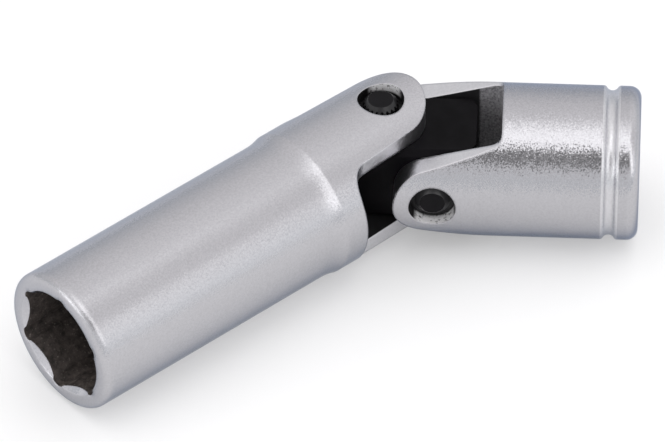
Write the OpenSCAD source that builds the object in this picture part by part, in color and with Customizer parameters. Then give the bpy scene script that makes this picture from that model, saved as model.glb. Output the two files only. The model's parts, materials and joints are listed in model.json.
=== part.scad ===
// Swivel spark plug socket: a deep hexagon socket and a square drive end, each with a fork,
// joined by a link block that turns on two pins set at right angles.
// Origin at the centre of the socket mouth, +X along the socket, +Z up, both halves lying level.

/* [Socket] */
// Hexagon across its flats
hex_flats = 18.1; // [16:0.1:21]
// Radius of the round relief in each corner of the hexagon
hex_lobe_r = 1.6; // [1:0.1:2]
// Depth of the hexagon from the mouth
hex_depth = 20; // [14:1:26]
// Turn of the hexagon's corner away from the first pin, in degrees
hex_turn = 5.4; // [0:0.2:30]
// Depth of the lead-in cone at the mouth
mouth_lead = 1; // [0.5:0.1:2]
// Wall outside the corners of the hexagon
barrel_wall = 2.5; // [1.8:0.1:4]
// Rounding of the barrel's outer edge at the mouth
mouth_round = 1.3; // [0.6:0.1:1.7]
// Distance from the mouth to the first pin
mouth_to_pin = 72.8; // [68:0.1:110]
// Step from the flats of the hexagon in to the round bore behind it
bore_step = 0.25; // [0.1:0.05:1]
// Floor left between the round bore and the fork
bore_floor = 5; // [3:0.5:10]

/* [Plug grip] */
// Distance from the mouth to the grip sleeve
grip_start = 28; // [27:0.5:32]
// Length of the grip sleeve
grip_length = 16; // [10:0.5:18]
// Hole through the grip sleeve
grip_hole_d = 10.4; // [8:0.1:12]
// Height of the bead that holds the sleeve in the bore
grip_bead = 0.6; // [0.3:0.1:0.9]
// Clearance round the sleeve in its bore
grip_gap = 0.05; // [0.02:0.01:0.2]

/* [Forks] */
// How far the forks stand proud of the barrel
shoulder_rise = 0.5; // [0.2:0.1:1.5]
// Length of the hollow curve that runs up to the socket fork
shoulder_run = 3.6; // [2:0.1:6]
// Distance from the shoulder to the first pin
shoulder_to_pin = 19; // [17:0.5:24]
// Width of the slot between the ears of each fork
slot_w = 15.6; // [13:0.1:17]
// Rounding in the corners of the slots
slot_corner_r = 1.8; // [0.5:0.1:3]
// From the first pin to the bottom of the socket slot
socket_slot_depth = 14.6; // [12:0.1:16]
// Radius of the socket ears round their pin
socket_ear_r = 7.8; // [6.6:0.1:8.4]
// Taper of each side of the socket ears, in degrees
socket_ear_taper = 3; // [1:0.5:8]
// Rounding where the socket ears run into the barrel
socket_root_r = 3.6; // [2:0.1:6]
// From the second pin to the bottom of the drive slot
drive_slot_depth = 11.8; // [11:0.1:14]
// Radius of the drive ears round their pin
drive_ear_r = 6.9; // [6.2:0.1:7.2]
// Taper of each side of the drive ears, in degrees
drive_ear_taper = 16.2; // [8:0.2:20]
// Rounding where the drive ears run into the body
drive_root_r = 1.6; // [0.6:0.1:3]

/* [Pins] */
// Diameter of both pins
pin_d = 6.2; // [5:0.1:6.8]
// Teeth on the knurled end of a pin
knurl_teeth = 20; // [16:1:28]
// Depth of the knurl
knurl_depth = 0.35; // [0.2:0.05:0.5]
// Length of the knurl from its end of the pin
knurl_length = 5; // [3:0.1:5.4]
// Length of the chamfer at both ends of a pin
pin_chamfer = 0.9; // [0.4:0.1:1.2]
// How far the knurled end stays below the outside of the fork
knurled_recess = 0.3; // [0:0.1:1]
// How far the plain end stays below the outside of the fork
plain_recess = 1.4; // [1:0.1:2.4]
// Diameter of the counterbore round the end of a pin
counterbore_d = 8.2; // [7.4:0.1:9]
// Depth of the counterbores
counterbore_depth = 2.9; // [2.5:0.1:3.2]
// Running clearance of a pin in its bores
pin_gap = 0.05; // [0.02:0.01:0.1]

/* [Link block] */
// Distance between the two pins
pin_offset = 9.35; // [8.6:0.05:11]
// How far the block reaches beyond each pin
block_reach = 7.4; // [6:0.1:8]
// Clearance between the block and each ear
block_gap = 0.1; // [0.05:0.01:0.3]
// Chamfer along the block's long edges
block_edge = 1; // [0.4:0.1:1.6]
// Length of the chamfer on the block's end corners
block_corner = 1.5; // [0.5:0.1:2.4]

/* [Drive end] */
// Distance from the second pin to the end of the drive body
drive_length = 35.8; // [34:0.2:44]
// Side of the drive square
square_side = 12.75; // [9.5:0.05:13]
// Depth of the drive square
square_depth = 16; // [12:0.5:18]
// Distance from the end to the retaining recesses in the square
recess_from_end = 6.2; // [5:0.1:8]
// Radius of the recesses
recess_r = 1.9; // [1.5:0.1:2.5]
// Depth of the recesses
recess_depth = 1; // [0.5:0.1:1.5]
// Distance from the end to the middle of the turned groove
groove_from_end = 5.1; // [4:0.1:7]
// Width of the turned groove, with its rounded edges
groove_w = 3; // [2:0.1:3.8]
// Depth of the turned groove
groove_depth = 0.85; // [0.4:0.05:1.2]
// Rounding of the groove's edges
groove_edge_r = 0.6; // [0.2:0.1:0.8]
// Rounding of the drive body's outer edge
end_round = 2; // [0.6:0.1:2.2]

/* [Lie] */
// Lean of the first pin from upright, in degrees
pin_lean = 1; // [0:0.5:8]
// Bend of the joint as it lies, in degrees
joint_bend = 43.27; // [0:0.5:60]

/* [Hidden] */
$fn = 64;
eps = 0.01;

hex_reach = hex_flats / (2 * cos(30));
barrel_r = hex_reach + barrel_wall;
fork_r = barrel_r + shoulder_rise;
shoulder_x = mouth_to_pin - shoulder_to_pin;
plug_bore_d = hex_flats - 2 * bore_step;
bore_end = mouth_to_pin - socket_slot_depth - bore_floor;
// The lower bend keeps the drive body level although the pins lean.
link_bend = atan2(tan(joint_bend) * cos(pin_lean), 1);
drive_bend = asin(sin(joint_bend) * sin(pin_lean));
block_half = slot_w / 2 - block_gap;
bore_d = pin_d + 2 * pin_gap;
pin_top = fork_r - knurled_recess;
pin_bottom = -(fork_r - plain_recess);
far = 4 * fork_r;

// A cylinder along +X from x0 to x1
module bar(x0, x1, r) {
    translate([x0, 0, 0])
        rotate([0, 90, 0])
            cylinder(h = x1 - x0, r = r);
}

// A ring of waste that leaves an outer edge of radius r rounded, with its face at x = 0 and the solid on +X
module edge_rounding(r, round_r) {
    rotate([0, 90, 0])
        rotate_extrude()
            translate([r - round_r, 0])
                difference() {
                    translate([0, -1])
                        square([round_r + 1, round_r + 1]);
                    translate([0, round_r])
                        circle(round_r);
                }
}

// Points on an arc about (x, y), from angle a0 to angle a1
function arc(x, y, r, a0, a1, n = 8) =
    [for (i = [0 : n]) [x + r * cos(a0 + (a1 - a0) * i / n), y + r * sin(a0 + (a1 - a0) * i / n)]];

// The points turned over to the other side of the X axis, in reverse order
function turned_over(points) =
    [for (i = [len(points) - 1 : -1 : 0]) [points[i][0], -points[i][1]]];

// The side outline of an ear: its pin at the origin, its tip on -X, its root at x = depth
module ear_outline(depth, tip_r, taper, root_r) {
    flank_r = tip_r - 0.03;
    side = flank_r / cos(taper);
    fillet_y = side + (depth - root_r) * tan(taper) + root_r / cos(taper);
    upper = concat(
        [[-tip_r * sin(taper), flank_r * cos(taper)]],
        arc(depth - root_r, fillet_y, root_r, taper - 90, 0),
        [[depth + 1, fillet_y]]
    );
    circle(tip_r);
    polygon(concat(turned_over(upper), upper));
}

// Everything cut from a bar to make a fork: its pin along Z, its ears reaching to -X
module fork_cut(depth, tip_r, taper, root_r) {
    reach = tip_r + fork_r;
    half = slot_w / 2;
    upper = concat(
        [[depth, 0]],
        arc(depth - slot_corner_r, half - slot_corner_r, slot_corner_r, 0, 90),
        [[-reach, half]]
    );
    // Slot between the ears, with rounded corners
    translate([0, far / 2, 0])
        rotate([90, 0, 0])
            linear_extrude(far)
                polygon(concat(upper, turned_over(upper)));
    // Sides of the ears
    translate([0, 0, -far / 2])
        linear_extrude(far)
            difference() {
                translate([-reach, -far / 2])
                    square([reach + depth, far]);
                ear_outline(depth, tip_r, taper, root_r);
            }
    // Pin bore and counterbores
    translate([0, 0, -far / 2])
        cylinder(h = far, d = bore_d);
    for (s = [0, 180])
        rotate([s, 0, 0])
            translate([0, 0, fork_r - counterbore_depth])
                cylinder(h = far / 2, d = counterbore_d);
}

// The hexagon with a round relief in every corner, from x0 to x1
module lobed_hexagon(x0, x1) {
    lobe_at = hex_reach - hex_lobe_r;
    spread = 30 + acos((hex_flats / 2 - lobe_at * cos(30)) / hex_lobe_r);
    translate([x0, 0, 0])
        rotate([90, 0, 90])
            linear_extrude(x1 - x0)
                polygon([
                    for (i = [0 : 5])
                        let (a = 90 + hex_turn + 60 * i)
                            for (p = arc(lobe_at * cos(a), lobe_at * sin(a), hex_lobe_r, a - spread, a + spread))
                                p
                ]);
}

module socket_bore() {
    // A cone at 45 degrees, which starts outside the mouth and runs out at the middle of each flat
    lead_r = hex_flats / 2 + mouth_lead;
    lobed_hexagon(-1, hex_depth);
    translate([-1, 0, 0])
        rotate([0, 90, 0])
            cylinder(h = mouth_lead + 2, r1 = lead_r + 1, r2 = lead_r - mouth_lead - 1);
    bar(hex_depth / 2, bore_end, plug_bore_d / 2);
    grip_bead_ring(plug_bore_d / 2, 0);
}

// The ring-shaped bead halfway along the grip sleeve, or the groove for it
module grip_bead_ring(r, gap) {
    middle = grip_start + grip_length / 2;
    bar(middle - 2 * grip_bead + gap, middle + 2 * grip_bead - gap, r + grip_bead);
}

module socket_local() {
    difference() {
        rotate([0, 90, 0])
            rotate_extrude()
                socket_profile();
        edge_rounding(barrel_r, mouth_round);
        socket_bore();
        translate([mouth_to_pin, 0, 0])
            rotate([0, 0, 180])
                fork_cut(socket_slot_depth, socket_ear_r, socket_ear_taper, socket_root_r);
    }
}

// Half of the turned shape: the barrel, then a hollow curve that ends in a ridge, then the fork
module socket_profile() {
    curve_r = (shoulder_run * shoulder_run + shoulder_rise * shoulder_rise) / (2 * shoulder_rise);
    curve_angle = asin(shoulder_run / curve_r);
    end = mouth_to_pin + socket_ear_r + 1;
    polygon(concat(
        [[0, 0], [barrel_r, 0]],
        arc(barrel_r + curve_r, shoulder_x - shoulder_run, curve_r, 180, 180 - curve_angle),
        [[fork_r, end], [0, end]]
    ));
}

// A pin along Z with its knurled end up
module pin() {
    small_r = pin_d / 2 - pin_chamfer;
    difference() {
        union() {
            translate([0, 0, pin_bottom + pin_chamfer])
                cylinder(h = pin_top - knurl_length - pin_bottom - pin_chamfer, d = pin_d);
            translate([0, 0, pin_bottom])
                cylinder(h = pin_chamfer, r1 = small_r, d2 = pin_d);
            translate([0, 0, pin_top - knurl_length])
                linear_extrude(knurl_length)
                    knurl_outline();
        }
        translate([0, 0, pin_top - pin_chamfer])
            difference() {
                cylinder(h = pin_chamfer + 1, d = 2 * pin_d);
                cylinder(h = pin_chamfer, d1 = pin_d, r2 = small_r);
                cylinder(h = pin_chamfer + 2, r = small_r);
            }
    }
}

module knurl_outline() {
    crest = pin_d / 2 + pin_gap / 2;
    root = crest - knurl_depth;
    step = 360 / knurl_teeth;
    polygon([
        for (i = [0 : knurl_teeth - 1])
            for (p = [[0.1, root], [0.35, crest], [0.65, crest], [0.9, root]])
                p[1] * [cos((i + p[0]) * step), sin((i + p[0]) * step)]
    ]);
}

module block_local() {
    length = pin_offset + 2 * block_reach;
    inner = block_half - block_edge;
    across = block_corner * tan(60);
    difference() {
        intersection() {
            translate([-block_reach, 0, 0])
                rotate([90, 0, 90])
                    linear_extrude(length)
                        polygon([
                            [inner, -block_half], [block_half, -inner], [block_half, inner], [inner, block_half],
                            [-inner, block_half], [-block_half, inner], [-block_half, -inner], [-inner, -block_half]
                        ]);
            translate([pin_offset / 2, 0, -block_half])
                linear_extrude(2 * block_half)
                    end_chamfered(length / 2, block_half, block_corner, across);
        }
        translate([0, 0, -block_half - 1])
            cylinder(h = 2 * block_half + 2, d = bore_d);
        translate([pin_offset, block_half + 1, 0])
            rotate([90, 0, 0])
                cylinder(h = 2 * block_half + 2, d = bore_d);
    }
}

// A rectangle with its four corners cut off
module end_chamfered(half_x, half_y, cut_x, cut_y) {
    polygon([
        for (q = [[1, 1, 0], [-1, 1, 1], [-1, -1, 0], [1, -1, 1]])
            for (p = q[2] == 0 ? [[0, cut_y], [cut_x, 0]] : [[cut_x, 0], [0, cut_y]])
                [q[0] * (half_x - p[0]), q[1] * (half_y - p[1])]
    ]);
}

// Half of the turned shape of the drive body, with a groove that runs into its edges in one curve
module drive_profile() {
    start = -drive_ear_r - 1;
    groove_x = drive_length - groove_from_end;
    centres = (groove_w * groove_w / 4 + groove_depth * groove_depth) / (2 * groove_depth);
    bottom_r = centres - groove_edge_r;
    turn = asin(groove_w / 2 / centres);
    bottom = arc(fork_r - groove_depth + bottom_r, groove_x, bottom_r, 180 + turn, 180 - turn, 16);
    polygon(concat(
        [[0, start], [fork_r, start]],
        arc(fork_r - groove_edge_r, groove_x - groove_w / 2, groove_edge_r, 0, turn),
        [for (i = [1 : len(bottom) - 2]) bottom[i]],
        arc(fork_r - groove_edge_r, groove_x + groove_w / 2, groove_edge_r, -turn, 0),
        [[fork_r, drive_length], [0, drive_length]]
    ));
}

module drive_local() {
    square_x = drive_length - square_depth;
    difference() {
        rotate([0, 90, 0])
            rotate_extrude()
                drive_profile();
        rotate([-90, 0, 0])
            fork_cut(drive_slot_depth, drive_ear_r, drive_ear_taper, drive_root_r);
        translate([drive_length, 0, 0])
            mirror([1, 0, 0])
                edge_rounding(fork_r, end_round);
        translate([square_x, -square_side / 2, -square_side / 2])
            cube([square_depth + 1, square_side, square_side]);
        for (turn = [0 : 90 : 270])
            rotate([turn, 0, 0])
                translate([drive_length - recess_from_end, 0, square_side / 2 - recess_depth])
                    cylinder(h = 2 * recess_depth, r1 = recess_r + recess_depth, r2 = recess_r - recess_depth);
    }
}

// Places: the socket leans with its pin, the link turns about that pin, the drive about the second
module at_socket() {
    rotate([-pin_lean, 0, 0])
        children();
}

module at_link() {
    at_socket()
        translate([mouth_to_pin, 0, 0])
            rotate([0, 0, -link_bend])
                children();
}

module at_drive() {
    at_link()
        translate([pin_offset, 0, 0])
            rotate([0, drive_bend, 0])
                children();
}

module socket_body() {
    color("silver")
        at_socket()
            socket_local();
}

module plug_grip() {
    color([0.08, 0.08, 0.09])
        at_socket()
            difference() {
                union() {
                    bar(grip_start, grip_start + grip_length, plug_bore_d / 2 - grip_gap);
                    grip_bead_ring(plug_bore_d / 2 - grip_gap, grip_gap);
                }
                bar(grip_start - 1, grip_start + grip_length + 1, grip_hole_d / 2);
                rotate([0, 90, 0])
                    translate([0, 0, grip_start - eps])
                        cylinder(h = grip_length / 6, d1 = grip_hole_d + grip_length / 3, d2 = grip_hole_d);
            }
}

module socket_pin() {
    color([0.1, 0.1, 0.11])
        at_socket()
            translate([mouth_to_pin, 0, 0])
                pin();
}

module swivel_block() {
    color([0.09, 0.09, 0.1])
        at_link()
            block_local();
}

module drive_pin() {
    color([0.1, 0.1, 0.11])
        at_drive()
            rotate([-90, 0, 0])
                pin();
}

module drive_body() {
    color("silver")
        at_drive()
            drive_local();
}

socket_body();
plug_grip();
socket_pin();
swivel_block();
drive_pin();
drive_body();
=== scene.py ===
import json
import math

import bpy
from mathutils import Matrix, Vector


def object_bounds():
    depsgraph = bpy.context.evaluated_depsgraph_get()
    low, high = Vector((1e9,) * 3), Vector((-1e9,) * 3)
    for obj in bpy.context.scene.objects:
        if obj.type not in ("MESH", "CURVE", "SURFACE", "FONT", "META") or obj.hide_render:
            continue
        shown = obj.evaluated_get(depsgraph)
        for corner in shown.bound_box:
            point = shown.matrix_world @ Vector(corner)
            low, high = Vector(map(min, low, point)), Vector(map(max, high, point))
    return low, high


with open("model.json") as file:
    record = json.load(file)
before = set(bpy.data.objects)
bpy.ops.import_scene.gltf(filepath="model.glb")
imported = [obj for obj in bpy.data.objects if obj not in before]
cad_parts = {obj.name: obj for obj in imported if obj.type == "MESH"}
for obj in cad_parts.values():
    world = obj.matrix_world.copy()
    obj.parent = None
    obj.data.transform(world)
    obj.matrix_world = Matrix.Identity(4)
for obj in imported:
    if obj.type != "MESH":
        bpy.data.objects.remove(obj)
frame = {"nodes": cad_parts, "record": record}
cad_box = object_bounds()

scene = bpy.context.scene
scene.view_settings.view_transform = "Standard"
cad = frame["nodes"]
MM = 0.001

# Places and directions of the joint and of both halves, from the record

joints = {j["name"]: j for j in frame["record"]["behaviour"]["joints"]}
mounts = {m["name"]: m for m in frame["record"]["mounts"]}
MOUTH = Vector(mounts["plug_hexagon"]["pos_m"])
SOCKET_AXIS = -Vector(mounts["plug_hexagon"]["axis"]).normalized()
DRIVE_END = Vector(mounts["drive_square"]["pos_m"])
DRIVE_AXIS = Vector(mounts["drive_square"]["axis"]).normalized()
AT_A = Vector(joints["socket_pivot"]["pos_m"])
PIN_A = Vector(joints["socket_pivot"]["axis"]).normalized()
AT_B = Vector(joints["drive_pivot"]["pos_m"])
PIN_B = Vector(joints["drive_pivot"]["axis"]).normalized()
FLOOR_Z = cad_box[0][2]

# Limits that tell the faces of a body apart: first by place, as part.scad has it, then by the slope of the normal

ON_PLANE = 0.001 * MM
INSIDE_END, INSIDE_R = 54 * MM, 10.62 * MM
LEAD_IN_END = 1.02 * MM
SOCKET_FORK_START = 56 * MM
SQUARE_END, SQUARE_REACH = 17 * MM, 9.3 * MM
GROOVE_AT, GROOVE_HALF = 5.1 * MM, 1.48 * MM
END_ROUND = 2.0 * MM
DRIVE_FORK_START = 20 * MM
SLOT_HALF, SLOT_SLACK = 7.76 * MM, 0.06 * MM
COUNTERBORE_R, COUNTERBORE_FLOOR = 4.14 * MM, 7.95 * MM

SQUARE_ON = 0.99
PIN_END = 0.95
LEAD_IN_SLOPE = 0.3
SLOT_SLOPE = 0.3
FLANK_SLOPE = 0.15

# Sizes in the materials: cells per metre for the textures, metres for the rest

BLAST_CELLS, PIT_CELLS, DRIFT_CELLS = 5600, 2900, 60
PIT_DEPTH = 0.06 * MM
GRAIN_DEPTH = 0.1 * MM
MOUTH_ROUND_FROM, MOUTH_ROUND_TO = 1.5 * MM, 6 * MM
# Reach and fade of the painted shade that the swivel block casts on the drive's slot wall
SHADE_REACH, SHADE_FADE = 7.6 * MM, 0.3 * MM
# Fades of the painted highlight on the lit side of the counterbores
LIT_SIDE_FADE, LIT_DEPTH_FADE = 0.8 * MM, 0.6 * MM


# Shader helpers

def new_material(name):
    mat = bpy.data.materials.new(name)
    mat.use_nodes = True
    tree = mat.node_tree
    tree.nodes.clear()
    out = tree.nodes.new("ShaderNodeOutputMaterial")
    shader = tree.nodes.new("ShaderNodeBsdfPrincipled")
    tree.links.new(shader.outputs[0], out.inputs[0])
    return mat, tree, shader


def node(tree, kind, **values):
    n = tree.nodes.new(kind)
    for key, value in values.items():
        if key in n.inputs:
            n.inputs[key].default_value = value
        else:
            setattr(n, key, value)
    return n


def feed(tree, socket, value):
    """Links another node's output to a socket, or sets the socket to a plain value."""
    if isinstance(value, bpy.types.NodeSocket):
        tree.links.new(value, socket)
    else:
        socket.default_value = value


def fill(tree, shader, values):
    for key, value in values.items():
        feed(tree, shader.inputs[key], value)


def shade(colour, factor):
    return tuple(min(1.0, c * factor) for c in colour)


def object_coords(tree):
    return node(tree, "ShaderNodeTexCoord").outputs["Object"]


def noise(tree, coords, scale, detail=2.0, rough=0.5):
    n = node(tree, "ShaderNodeTexNoise", Scale=scale, Detail=detail, Roughness=rough)
    tree.links.new(coords, n.inputs["Vector"])
    return n.outputs["Fac"]


def ramp(tree, fac, stops):
    n = tree.nodes.new("ShaderNodeValToRGB")
    ends = n.color_ramp.elements
    while len(ends) < len(stops):
        ends.new(0.5)
    for end, (pos, colour) in zip(ends, stops):
        end.position = pos
        end.color = (*colour, 1.0)
    tree.links.new(fac, n.inputs["Fac"])
    return n.outputs["Color"]


def map_range(tree, fac, low, high, to_low, to_high):
    n = node(tree, "ShaderNodeMapRange")
    for key, value in (("From Min", low), ("From Max", high), ("To Min", to_low), ("To Max", to_high)):
        n.inputs[key].default_value = value
    tree.links.new(fac, n.inputs["Value"])
    return n.outputs["Result"]


def smooth_step(tree, fac, low, high, to_low, to_high):
    out = map_range(tree, fac, low, high, to_low, to_high)
    out.node.interpolation_type = "SMOOTHSTEP"
    return out


def combine(tree, operation, first, *others):
    """Applies one Math operation to all the values in turn."""
    for other in others:
        n = node(tree, "ShaderNodeMath", operation=operation)
        tree.links.new(first, n.inputs[0])
        tree.links.new(other, n.inputs[1])
        first = n.outputs[0]
    return first


def vector_math(tree, operation, *values):
    n = node(tree, "ShaderNodeVectorMath", operation=operation)
    for socket, value in zip(n.inputs, values):
        feed(tree, socket, value)
    return n.outputs


def toward(tree, coords, direction):
    """How far coords lie along a direction."""
    return vector_math(tree, "DOT_PRODUCT", coords, Vector(direction).normalized())["Value"]


def offset(tree, coords, centre):
    return vector_math(tree, "SUBTRACT", coords, centre)["Vector"]


def mix(tree, factor, a, b, blend_type="MIX"):
    """Colour a, then b as factor goes from 0 to 1. A Mix node has its colours on sockets 6, 7 and, out of it, 2."""
    n = node(tree, "ShaderNodeMix", data_type="RGBA", blend_type=blend_type)
    feed(tree, n.inputs["Factor"], factor)
    feed(tree, n.inputs[6], a)
    feed(tree, n.inputs[7], b)
    return n.outputs[2]


def bump(tree, height, strength, distance, under=None):
    n = node(tree, "ShaderNodeBump", Strength=strength, Distance=distance)
    tree.links.new(height, n.inputs["Height"])
    if under is not None:
        tree.links.new(under, n.inputs["Normal"])
    return n.outputs["Normal"]


def rounded(tree, radius):
    """Normals as if the edges were rounded, as blasting and plating leave them."""
    n = node(tree, "ShaderNodeBevel", samples=6)
    feed(tree, n.inputs["Radius"], radius)
    return n.outputs["Normal"]


def facets(tree, coords, scale, tilt, under):
    """Tilts the normal at random from grain to grain, as a blasted surface does."""
    grains = node(tree, "ShaderNodeTexVoronoi", Scale=scale)
    tree.links.new(coords, grains.inputs["Vector"])
    lean = vector_math(tree, "MULTIPLY_ADD", grains.outputs["Color"], (2 * tilt,) * 3, (-tilt,) * 3)["Vector"]
    return vector_math(tree, "NORMALIZE", vector_math(tree, "ADD", under, lean)["Vector"])["Vector"]


# Materials, with the rounding of their edges in millimetres

COOL, COOLER = (0.53, 0.57, 0.64), (0.40, 0.45, 0.55)


def satin_chrome(name, light, rough, tilt, edge=0.4, mouth_edge=None, tint=COOL):
    """Blasted and plated steel: grains that lean by up to tilt, fine pits, drift in gloss, tint at a flat angle."""
    mat, tree, shader = new_material(name)
    co = object_coords(tree)
    drift = noise(tree, co, DRIFT_CELLS)
    pits = noise(tree, co, PIT_CELLS, 0.5)
    radius = edge * MM
    if mouth_edge:
        from_mouth = toward(tree, co, SOCKET_AXIS)
        radius = smooth_step(tree, from_mouth, MOUTH_ROUND_FROM, MOUTH_ROUND_TO, mouth_edge * MM, edge * MM)
    grainy = facets(tree, co, BLAST_CELLS, tilt, rounded(tree, radius))
    fill(tree, shader, {
        "Base Color": ramp(tree, pits, [(0.30, shade(light, 0.95)), (0.52, light), (0.75, shade(light, 1.04))]),
        "Metallic": 1.0,
        "Specular Tint": (*tint, 1.0),
        "Roughness": map_range(tree, drift, 0.3, 0.7, rough - 0.03, rough + 0.03),
        "Normal": bump(tree, pits, 0.2, PIT_DEPTH, grainy),
    })
    return mat


def bore_black(name):
    """Dull brown-black scale inside the bores, with specks of bare metal."""
    mat, tree, shader = new_material(name)
    co = object_coords(tree)
    patch = noise(tree, co, 700, 5.0, 0.7)
    speck = noise(tree, co, 2300, 2.0, 0.6)
    scale = ramp(tree, patch, [(0.34, (0.022, 0.018, 0.016)), (0.66, (0.105, 0.087, 0.078))])
    bare = ramp(tree, speck, [(0.62, (0.0, 0.0, 0.0)), (0.76, (0.20, 0.18, 0.165))])
    fill(tree, shader, {
        "Base Color": mix(tree, 1.0, scale, bare, "ADD"),
        "Roughness": map_range(tree, speck, 0.35, 0.7, 0.7, 0.4),
        "Normal": bump(tree, speck, 0.5, 1.2 * GRAIN_DEPTH),
    })
    return mat


def black_oxide(name, base, rough, gloss, edge):
    """Black oxide steel: a thin oil sheen, a fine tooth and slightly greyer rubbed patches."""
    mat, tree, shader = new_material(name)
    co = object_coords(tree)
    patch = noise(tree, co, 180, 3.0, 0.6)
    tooth = noise(tree, co, 5200, 2.0, 0.6)
    fill(tree, shader, {
        "Base Color": ramp(tree, patch, [(0.32, shade(base, 0.7)), (0.72, shade(base, 1.5))]),
        "Specular IOR Level": gloss,
        "Roughness": map_range(tree, patch, 0.3, 0.7, rough + 0.06, rough - 0.06),
        "Normal": bump(tree, tooth, 0.3, 0.5 * GRAIN_DEPTH, rounded(tree, edge * MM)),
    })
    return mat


def slot_steel(name, centre, axis, edge):
    """Bare charcoal steel in a slot, with painted shade: near black on the wall as far out as the block's end,
    where the block shades it.
    """
    mat, tree, shader = new_material(name)
    co = object_coords(tree)
    out = toward(tree, offset(tree, co, centre), axis)
    # painted shade of the block: 0 on the wall up to the block's end, 1 on the bare steel beyond
    bare = smooth_step(tree, out, SHADE_REACH - SHADE_FADE, SHADE_REACH + SHADE_FADE, 0.0, 1.0)
    speck = noise(tree, co, 2600, 2.0, 0.6)
    steel = ramp(tree, speck, [(0.34, (0.18, 0.176, 0.186)), (0.68, (0.44, 0.43, 0.45))])
    fill(tree, shader, {
        "Base Color": mix(tree, bare, (0.016, 0.0155, 0.017, 1.0), steel),
        "Specular IOR Level": 0.3,
        "Roughness": map_range(tree, speck, 0.35, 0.7, 0.6, 0.45),
        "Normal": bump(tree, speck, 0.5, GRAIN_DEPTH, rounded(tree, edge * MM)),
    })
    return mat


def counterbore(name, centre, outward, lit, beside, above):
    """Drilled wall round the end of a pin that points outward: a painted highlight of bright grainy metal towards
    lit, else near black as painted shade.

    The painted highlight starts beside millimetres from the pin's axis and above millimetres out from the joint's
    centre.
    """
    mat, tree, shader = new_material(name)
    co = object_coords(tree)
    from_centre = offset(tree, co, centre)
    across = Vector(lit) - Vector(lit).dot(outward) * outward
    beside, above = beside * MM, above * MM
    side = map_range(tree, toward(tree, from_centre, across), beside, beside + LIT_SIDE_FADE, 0.0, 1.0)
    high = smooth_step(tree, toward(tree, from_centre, outward), above, above + LIT_DEPTH_FADE, 0.0, 1.0)
    grain = noise(tree, co, 1500, 2.0, 0.65)
    # painted highlight: the lit side of the wall in bright grainy metal; the mix below paints the rest near black
    # as painted shade
    metal = ramp(tree, grain, [(0.34, (0.12, 0.115, 0.12)), (0.47, (0.97, 0.96, 0.97))])
    fill(tree, shader, {
        "Base Color": mix(tree, combine(tree, "MULTIPLY", side, high), (0.008, 0.0075, 0.008, 1.0), metal),
        "Metallic": 0.2,
        "Roughness": map_range(tree, grain, 0.3, 0.7, 0.5, 0.36),
        "Normal": bump(tree, grain, 0.5, GRAIN_DEPTH),
    })
    return mat


def rubber(name):
    """Matt black rubber with a moulded skin."""
    mat, tree, shader = new_material(name)
    skin = noise(tree, object_coords(tree), 1800, 3.0, 0.6)
    fill(tree, shader, {
        "Base Color": ramp(tree, skin, [(0.3, (0.012, 0.012, 0.012)), (0.7, (0.030, 0.029, 0.028))]),
        "Roughness": map_range(tree, skin, 0.3, 0.7, 0.7, 0.9),
        "Normal": bump(tree, skin, 0.3, GRAIN_DEPTH),
    })
    return mat


SOCKET = satin_chrome("socket_chrome", (0.475, 0.47, 0.49), rough=0.19, tilt=0.05, edge=0.5, mouth_edge=1.3)
# painted shade: the drive's chrome is a shade darker than the socket's, for the darker floor its underside reflects
DRIVE = satin_chrome("drive_chrome", (0.455, 0.45, 0.47), rough=0.18, tilt=0.095, edge=0.7, tint=COOLER)
TURNED_END = satin_chrome("turned_end", (0.47, 0.465, 0.485), rough=0.15, tilt=0.03, edge=0.3, tint=COOLER)
# painted light: the groove is a lighter copy of the drive's chrome, against the groove's own shade
GROOVE = satin_chrome("turned_groove", (0.60, 0.595, 0.615), rough=0.24, tilt=0.03, edge=1.0)
# painted light: the ears' flanks are a lighter copy of the chrome, for the light they catch
FLANK = satin_chrome("ear_flank", (0.62, 0.615, 0.635), rough=0.32, tilt=0.05, edge=0.7)
# painted light: the lead-in is a lighter copy of the socket's chrome, for its bright crescents
LEAD_IN = satin_chrome("mouth_chrome", (0.52, 0.515, 0.54), rough=0.16, tilt=0.04)
SLOT_A = black_oxide("socket_slot", (0.016, 0.0155, 0.017), rough=0.52, gloss=0.3, edge=0.3)
# The drive's slot wall carries the block's painted shade
SLOT_B = slot_steel("drive_slot", AT_B, DRIVE_AXIS, edge=0.3)
BORE = bore_black("bore_black")
# Each counterbore: a painted highlight towards lit, painted shade elsewhere
DRILL_A = counterbore("drilled_socket", AT_A, PIN_A, lit=(0.84, 0.60, 0.0), beside=2.7, above=11.3)
DRILL_B = counterbore("drilled_drive", AT_B, -PIN_B, lit=(0.15, -0.14, -1.0), beside=1.8, above=10.5)
BLOCK = black_oxide("block_black", (0.004, 0.0036, 0.0044), rough=0.45, gloss=0.05, edge=0.25)
PIN = black_oxide("pin_black", (0.005, 0.0045, 0.0055), rough=0.36, gloss=0.08, edge=0.2)
# painted light: the drive pin's edge is a lighter, glossier copy of the socket pin's edge, for the light its
# chamfer catches
PIN_EDGE_A = black_oxide("socket_pin_edge", (0.010, 0.0095, 0.0105), rough=0.3, gloss=0.4, edge=0.1)
PIN_EDGE_B = black_oxide("drive_pin_edge", (0.035, 0.034, 0.036), rough=0.3, gloss=0.6, edge=0.1)
RUBBER = rubber("grip_rubber")


# Which face gets which material, by its middle p and its normal n

def dress(name, mats, pick):
    """Gives every face of a CAD node the one of mats that pick chooses for it."""
    mesh = cad[name].data
    mesh.materials.clear()
    for mat in mats:
        mesh.materials.append(mat)
    for poly in mesh.polygons:
        poly.material_index = mats.index(pick(poly.center, poly.normal))


def along_and_off(p, centre, axis):
    """How far p lies from centre along an axis, and how far off the axis."""
    q = p - centre
    along = q.dot(axis)
    return along, (q - along * axis).length


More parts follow.
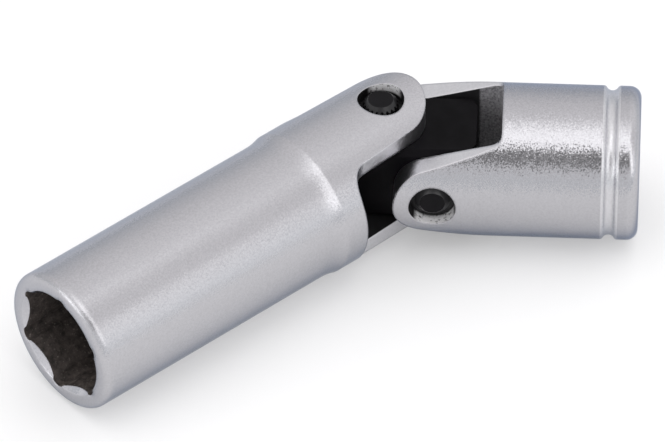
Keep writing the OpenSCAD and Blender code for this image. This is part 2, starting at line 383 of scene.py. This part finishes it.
def in_counterbore(p, centre, pin):
    along, off = along_and_off(p, centre, pin)
    return off < COUNTERBORE_R and abs(along) > COUNTERBORE_FLOOR


def fork_face(p, n, centre, pin, axis, slot, outside):
    """slot for the inner walls and the bottom of a fork's slot, FLANK for the ears' sides, outside for the rest."""
    along = abs((p - centre).dot(pin))
    if along < SLOT_HALF + SLOT_SLACK and abs(n.dot(pin.cross(axis))) < SLOT_SLOPE:
        return slot
    if along > SLOT_HALF - SLOT_SLACK and abs(n.dot(pin)) < FLANK_SLOPE:
        return FLANK
    return outside


def socket_face(p, n):
    depth, off = along_and_off(p, MOUTH, SOCKET_AXIS)
    outward = -n.dot(SOCKET_AXIS)
    rim = depth < ON_PLANE and outward > SQUARE_ON
    if depth < INSIDE_END and off < INSIDE_R and not rim:
        return LEAD_IN if depth < LEAD_IN_END and outward > LEAD_IN_SLOPE else BORE
    if in_counterbore(p, AT_A, PIN_A):
        return DRILL_A
    if depth > SOCKET_FORK_START:
        return fork_face(p, n, AT_A, PIN_A, SOCKET_AXIS, SLOT_A, SOCKET)
    return SOCKET


def drive_face(p, n):
    along, off = along_and_off(p, DRIVE_END, DRIVE_AXIS)
    depth = -along
    if ON_PLANE < depth < SQUARE_END and off < SQUARE_REACH:
        return BORE
    if in_counterbore(p, AT_B, PIN_B):
        return DRILL_B
    if abs(depth - GROOVE_AT) < GROOVE_HALF:
        return GROOVE
    if depth < END_ROUND and off > SQUARE_REACH and n.dot(DRIVE_AXIS) < SQUARE_ON:
        return TURNED_END
    if depth > DRIVE_FORK_START:
        return fork_face(p, n, AT_B, PIN_B, DRIVE_AXIS, SLOT_B, DRIVE)
    return DRIVE


def pin_face(pin, edge):
    return lambda p, n: PIN if abs(n.dot(pin)) > PIN_END else edge


dress("socket_body", [SOCKET, LEAD_IN, BORE, DRILL_A, SLOT_A, FLANK], socket_face)
dress("drive_body", [DRIVE, BORE, DRILL_B, SLOT_B, FLANK, GROOVE, TURNED_END], drive_face)
dress("swivel_block", [BLOCK], lambda p, n: BLOCK)
dress("socket_pin", [PIN, PIN_EDGE_A], pin_face(PIN_A, PIN_EDGE_A))
dress("drive_pin", [PIN, PIN_EDGE_B], pin_face(PIN_B, PIN_EDGE_B))
dress("plug_grip", [RUBBER], lambda p, n: RUBBER)


# Camera at the photograph's angle: 43 degrees above the table, a long way off

CAMERA_AT = Vector((-0.65427, -0.83390, 1.01286))
RIGHT = Vector((0.758777, -0.651350, 0.0)).normalized()
TOWARD = Vector((-0.477054, -0.555733, 0.680850)).normalized()
UP = TOWARD.cross(RIGHT)

cam_data = bpy.data.cameras.new("camera")
cam_data.sensor_fit = "HORIZONTAL"
cam_data.sensor_width = 36.0
cam_data.lens = 464.56
cam_data.clip_start = 0.01
cam_data.clip_end = 20.0
cam = bpy.data.objects.new("camera", cam_data)
scene.collection.objects.link(cam)
cam.matrix_world = Matrix((
    (RIGHT.x, UP.x, TOWARD.x, CAMERA_AT.x),
    (RIGHT.y, UP.y, TOWARD.y, CAMERA_AT.y),
    (RIGHT.z, UP.z, TOWARD.z, CAMERA_AT.z),
    (0, 0, 0, 1),
))
scene.camera = cam


# White table, with a glow that only the camera, glossy surfaces and glass see

FLOOR_HALF = 3.0
FLOOR_GLOW = 0.27

floor_mesh = bpy.data.meshes.new("floor")
corners = [(-1, -1), (1, -1), (1, 1), (-1, 1)]
floor_mesh.from_pydata([(x * FLOOR_HALF, y * FLOOR_HALF, FLOOR_Z) for x, y in corners], [], [(0, 1, 2, 3)])
floor = bpy.data.objects.new("floor", floor_mesh)
scene.collection.objects.link(floor)

mat, tree, shader = new_material("table_white")
cloud = noise(tree, object_coords(tree), 3.0)
rays = node(tree, "ShaderNodeLightPath").outputs
seen = combine(tree, "MAXIMUM", rays["Is Camera Ray"], rays["Is Glossy Ray"], rays["Is Transmission Ray"])
fill(tree, shader, {
    "Base Color": ramp(tree, cloud, [(0.3, (0.70, 0.70, 0.70)), (0.7, (0.72, 0.72, 0.72))]),
    "Roughness": 0.9,
    "Specular IOR Level": 0.1,
    "Emission Color": (1, 1, 1, 1),
    "Emission Strength": map_range(tree, seen, 0.0, 1.0, 0.0, FLOOR_GLOW),
})
floor_mesh.materials.append(mat)


# Soft studio light: a pale room that is brighter overhead and dimmer in three zones, and soft boxes

def zone(tree, heading, centre, outer, inner, level):
    """Factor on the room's light: level up to inner degrees from centre, and 1 from outer degrees on."""
    far, near = math.cos(math.radians(outer)), math.cos(math.radians(inner))
    return smooth_step(tree, toward(tree, heading, centre), far, near, 1.0, level)


world = bpy.data.worlds.new("room")
scene.world = world
world.use_nodes = True
tree = world.node_tree
tree.nodes.clear()
world_out = tree.nodes.new("ShaderNodeOutputWorld")
background = tree.nodes.new("ShaderNodeBackground")
tree.links.new(background.outputs[0], world_out.inputs[0])
heading = node(tree, "ShaderNodeTexCoord").outputs["Generated"]
height = toward(tree, heading, (0, 0, 1))
fill(tree, background, {
    "Color": ramp(tree, height, [(0.0, (0.94, 0.97, 1.0)), (0.6, (1.0, 0.99, 1.0))]),
    "Strength": combine(
        tree, "MULTIPLY",
        smooth_step(tree, height, 0.05, 0.85, 0.98, 1.12),
        zone(tree, heading, (0.2, 0.98, 0.0), 84.26, 0, 0.83),
        zone(tree, heading, (-0.477, -0.523, 0.707), 19, 7, 0.23),
        zone(tree, heading, (0.477, -0.45, 0.756), 15, 4, 0.90),
    ),
})

LIT_POINT = Vector((0.06, -0.005, 0.0))


def soft_box(name, heading, distance, size, radiance):
    """A rectangular lamp of size metres, at a distance from the object in a heading, that faces it."""
    data = bpy.data.lights.new(name, "AREA")
    data.shape = "RECTANGLE"
    data.size, data.size_y = size
    data.energy = radiance * math.pi * size[0] * size[1]
    obj = bpy.data.objects.new(name, data)
    scene.collection.objects.link(obj)
    aim = Vector(heading).normalized()
    obj.location = LIT_POINT + aim * distance
    obj.rotation_euler = (-aim).to_track_quat("-Z", "Y").to_euler()


# Four boxes overhead share their edge towards the camera, so that the light fades only away from it
OVERHEAD_EDGE = math.radians(29.616)
OVERHEAD_LEAN = Vector((-0.70, -0.71, 0.0))
for i, (side, radiance) in enumerate([(0.46, 0.28), (0.58, 0.26), (0.72, 0.20), (0.86, 0.14)]):
    lean = OVERHEAD_EDGE - side / 2
    overhead = OVERHEAD_LEAN * math.sin(lean) + Vector((0, 0, math.cos(lean)))
    soft_box(f"overhead_{i}", overhead, 1.0, (side, side), radiance)
soft_box("front", (0.26, -0.87, 0.41), 1.2, (0.6, 0.6), 0.36)
soft_box("strip", (0.03, -0.77, 0.64), 1.2, (0.36, 1.0), 0.8)
soft_box("front_right", (0.56, -0.82, 0.10), 1.3, (0.8, 0.25), 0.2)
soft_box("left_edge", (-0.93, 0.30, 0.21), 1.2, (0.5, 0.4), 1.8)
